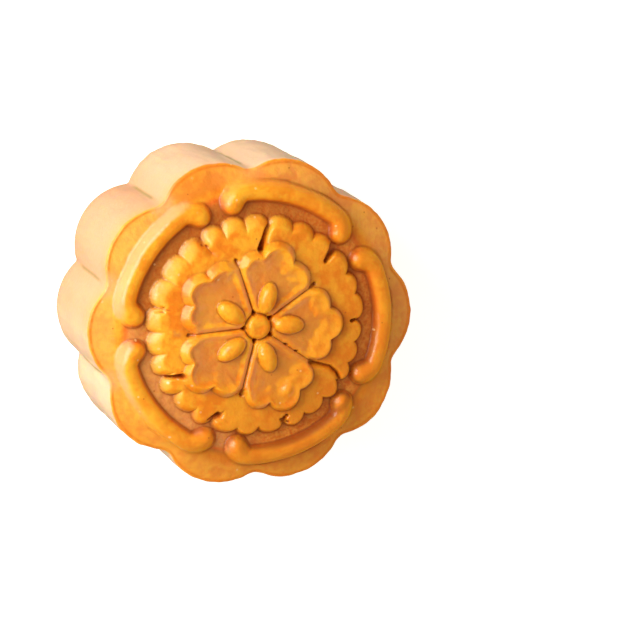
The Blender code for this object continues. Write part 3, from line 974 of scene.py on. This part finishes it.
def kept(name):
    """A share that was kept on the sheet."""
    node = nodes.new("ShaderNodeAttribute")
    node.attribute_name = name
    return node.outputs["Fac"]


def reckon(operation, first, second):
    node = nodes.new("ShaderNodeMath")
    node.operation = operation
    for socket, value in zip(node.inputs, (first, second)):
        if isinstance(value, (int, float)):
            socket.default_value = value
        else:
            wires.new(value, socket)
    return node.outputs["Value"]


def blend(first, second, share):
    """Adds two patterns, the first by its share and the second by the rest."""
    return reckon("ADD", reckon("MULTIPLY", first, share), reckon("MULTIPLY", second, 1.0 - share))


def spread(value, low, high, to_low=0.0, to_high=1.0):
    """Maps a run of values to another, held at its ends."""
    node = nodes.new("ShaderNodeMapRange")
    for name, number in (("From Min", low), ("From Max", high), ("To Min", to_low), ("To Max", to_high)):
        node.inputs[name].default_value = number
    wires.new(value, node.inputs["Value"])
    return node.outputs["Result"]


def tinted(under, over, amount):
    node = nodes.new("ShaderNodeMix")
    node.data_type = "RGBA"
    for name, colour in (("A", under), ("B", over)):
        socket = [item for item in node.inputs if item.name == name and item.type == "RGBA"][0]
        if isinstance(colour, tuple):
            socket.default_value = (*colour, 1.0)
        else:
            wires.new(colour, socket)
    wires.new(amount, node.inputs["Factor"])
    return [item for item in node.outputs if item.type == "RGBA"][0]


def scattered(scale, size, share):
    """Small round spots in a share of the cells of a random pattern."""
    node = nodes.new("ShaderNodeTexVoronoi")
    node.voronoi_dimensions = "2D"
    node.inputs["Scale"].default_value = scale
    wires.new(on_crust, node.inputs["Vector"])
    chosen = nodes.new("ShaderNodeSeparateColor")
    wires.new(node.outputs["Color"], chosen.inputs["Color"])
    spots = spread(node.outputs["Distance"], size, size * 0.6)
    return reckon("MULTIPLY", spots, reckon("LESS_THAN", chosen.outputs["Red"], share))


patches = grain(170.0, 3.0)
mottle = grain(650.0, 2.0)
sand = grain(1300.0, 2.0, 0.7)
sandy = tinted((0.68, 0.145, 0.005), (0.87, 0.32, 0.04), spread(blend(sand, mottle, 0.5), 0.36, 0.64))
# The painted shade at the ridges' feet: redder where the face is less browned and shaded, darker where it is
# more.
painted_ridge_foot_shade = tinted((0.80, 0.11, 0.001), (0.34, 0.09, 0.015), spread(kept("browned_and_shaded"), 0.3, 0.8))
broken_lip = reckon("MULTIPLY", kept("lip"), spread(mottle, 0.35, 0.55, 0.4, 0.85))
pinholes = scattered(330.0, 0.085, 0.035)
specks = scattered(210.0, 0.065, 0.10)
# Painted glints: highlights on the petals' brows.
painted_glints = reckon("MULTIPLY", scattered(420.0, 0.16, 0.3), kept("painted_glint"))
colour = tinted((0.85, 0.24, 0.004), (0.96, 0.42, 0.018), spread(blend(patches, mottle, 0.65), 0.43, 0.57))
side = tinted((0.78, 0.43, 0.235), (0.78, 0.405, 0.18), kept("near_rim"))
# The walls that turn away from the light are painted paler, as painted light.
side = tinted(side, (0.93, 0.62, 0.39), reckon("MULTIPLY", kept("painted_far_wall_light"), 0.9))

# Each tint of the face: where it lies, its colour, and how much of it shows there. Many of them are painted
# light and painted shade, marked below.
tints = [
    # Painted light at the left.
    (kept("paler"), (0.96, 0.50, 0.08), 0.26),
    (kept("brow"), (0.96, 0.40, 0.012), 0.4),
    # Painted shade in the petals' dishes.
    (kept("dish"), (0.70, 0.245, 0.045), 0.65),
    # The recess: its own browner, sandy bake, partly as painted shade.
    (kept("recess"), sandy, 0.9),
    # A painted shadow on the top of the recess.
    (kept("painted_recess_shadow"), (0.44, 0.12, 0.01), 0.65),
    (kept("tan_recess"), (0.84, 0.42, 0.13), 0.5),
    # Browner at one notch, and painted shade towards the front and the right.
    (kept("browned_and_shaded"), (0.72, 0.20, 0.006), 0.65),
    (kept("lobe"), (0.90, 0.44, 0.15), 0.3),
    # A painted glow on the ridges' shaded slopes.
    (kept("painted_glow_in_shade"), (1.0, 0.34, 0.003), 0.7),
    # Painted shade at the ridges' feet.
    (kept("painted_ridge_foot_shade"), painted_ridge_foot_shade, 0.8),
    # A painted shadow on one ridge's inner side.
    (kept("painted_ridge_shadow"), (0.34, 0.07, 0.003), 0.7),
    # Painted fill light in the dishes' shade.
    (kept("painted_dish_fill"), (0.98, 0.40, 0.12), 0.5),
    # Painted golden light on slopes facing the light.
    (kept("painted_golden_light"), (0.97, 0.52, 0.05), 0.65),
    # Painted sheen on slopes facing the light.
    (kept("painted_sheen"), (0.84, 0.40, 0.18), 0.75),
    # Painted shade along the recess's edges.
    (kept("painted_foot_shade"), (0.32, 0.07, 0.008), 0.6),
    # Painted shade in the hollows.
    (kept("hollow"), (0.55, 0.12, 0.01), 0.45),
    # Painted shade in the creases.
    (kept("painted_crease_shade"), (0.40, 0.065, 0.002), 0.65),
    (broken_lip, (0.76, 0.21, 0.004), 1.0),
    (pinholes, (0.50, 0.10, 0.004), 0.6),
    (specks, (0.95, 0.60, 0.25), 0.6),
    # Painted glints.
    (painted_glints, (1.0, 0.82, 0.55), 0.6),
]
for place, tint, amount in tints:
    colour = tinted(colour, tint, reckon("MULTIPLY", place, amount))
colour = tinted(colour, side, kept("wall"))
# Painted shade in the grooves between the wall's lobes.
colour = tinted(colour, (0.36, 0.26, 0.07), reckon("MULTIPLY", kept("painted_seam_shade"), 0.8))
wires.new(colour, shader.inputs["Base Color"])
wires.new(spread(sand, 0.3, 0.7, 0.42, 0.56), shader.inputs["Roughness"])

sandy_relief = reckon("MULTIPLY", sand, spread(kept("recess"), 0.0, 1.0, 0.35, 1.1))
bump = nodes.new("ShaderNodeBump")
bump.inputs["Strength"].default_value = 0.45
bump.inputs["Distance"].default_value = 0.0003
wires.new(reckon("ADD", sandy_relief, mottle), bump.inputs["Height"])
wires.new(bump.outputs["Normal"], shader.inputs["Normal"])

crust.data.materials.append(bake)
crust.data.shade_smooth()
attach(crust, "root")
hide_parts("mooncake")

bpy.context.view_layer.update()
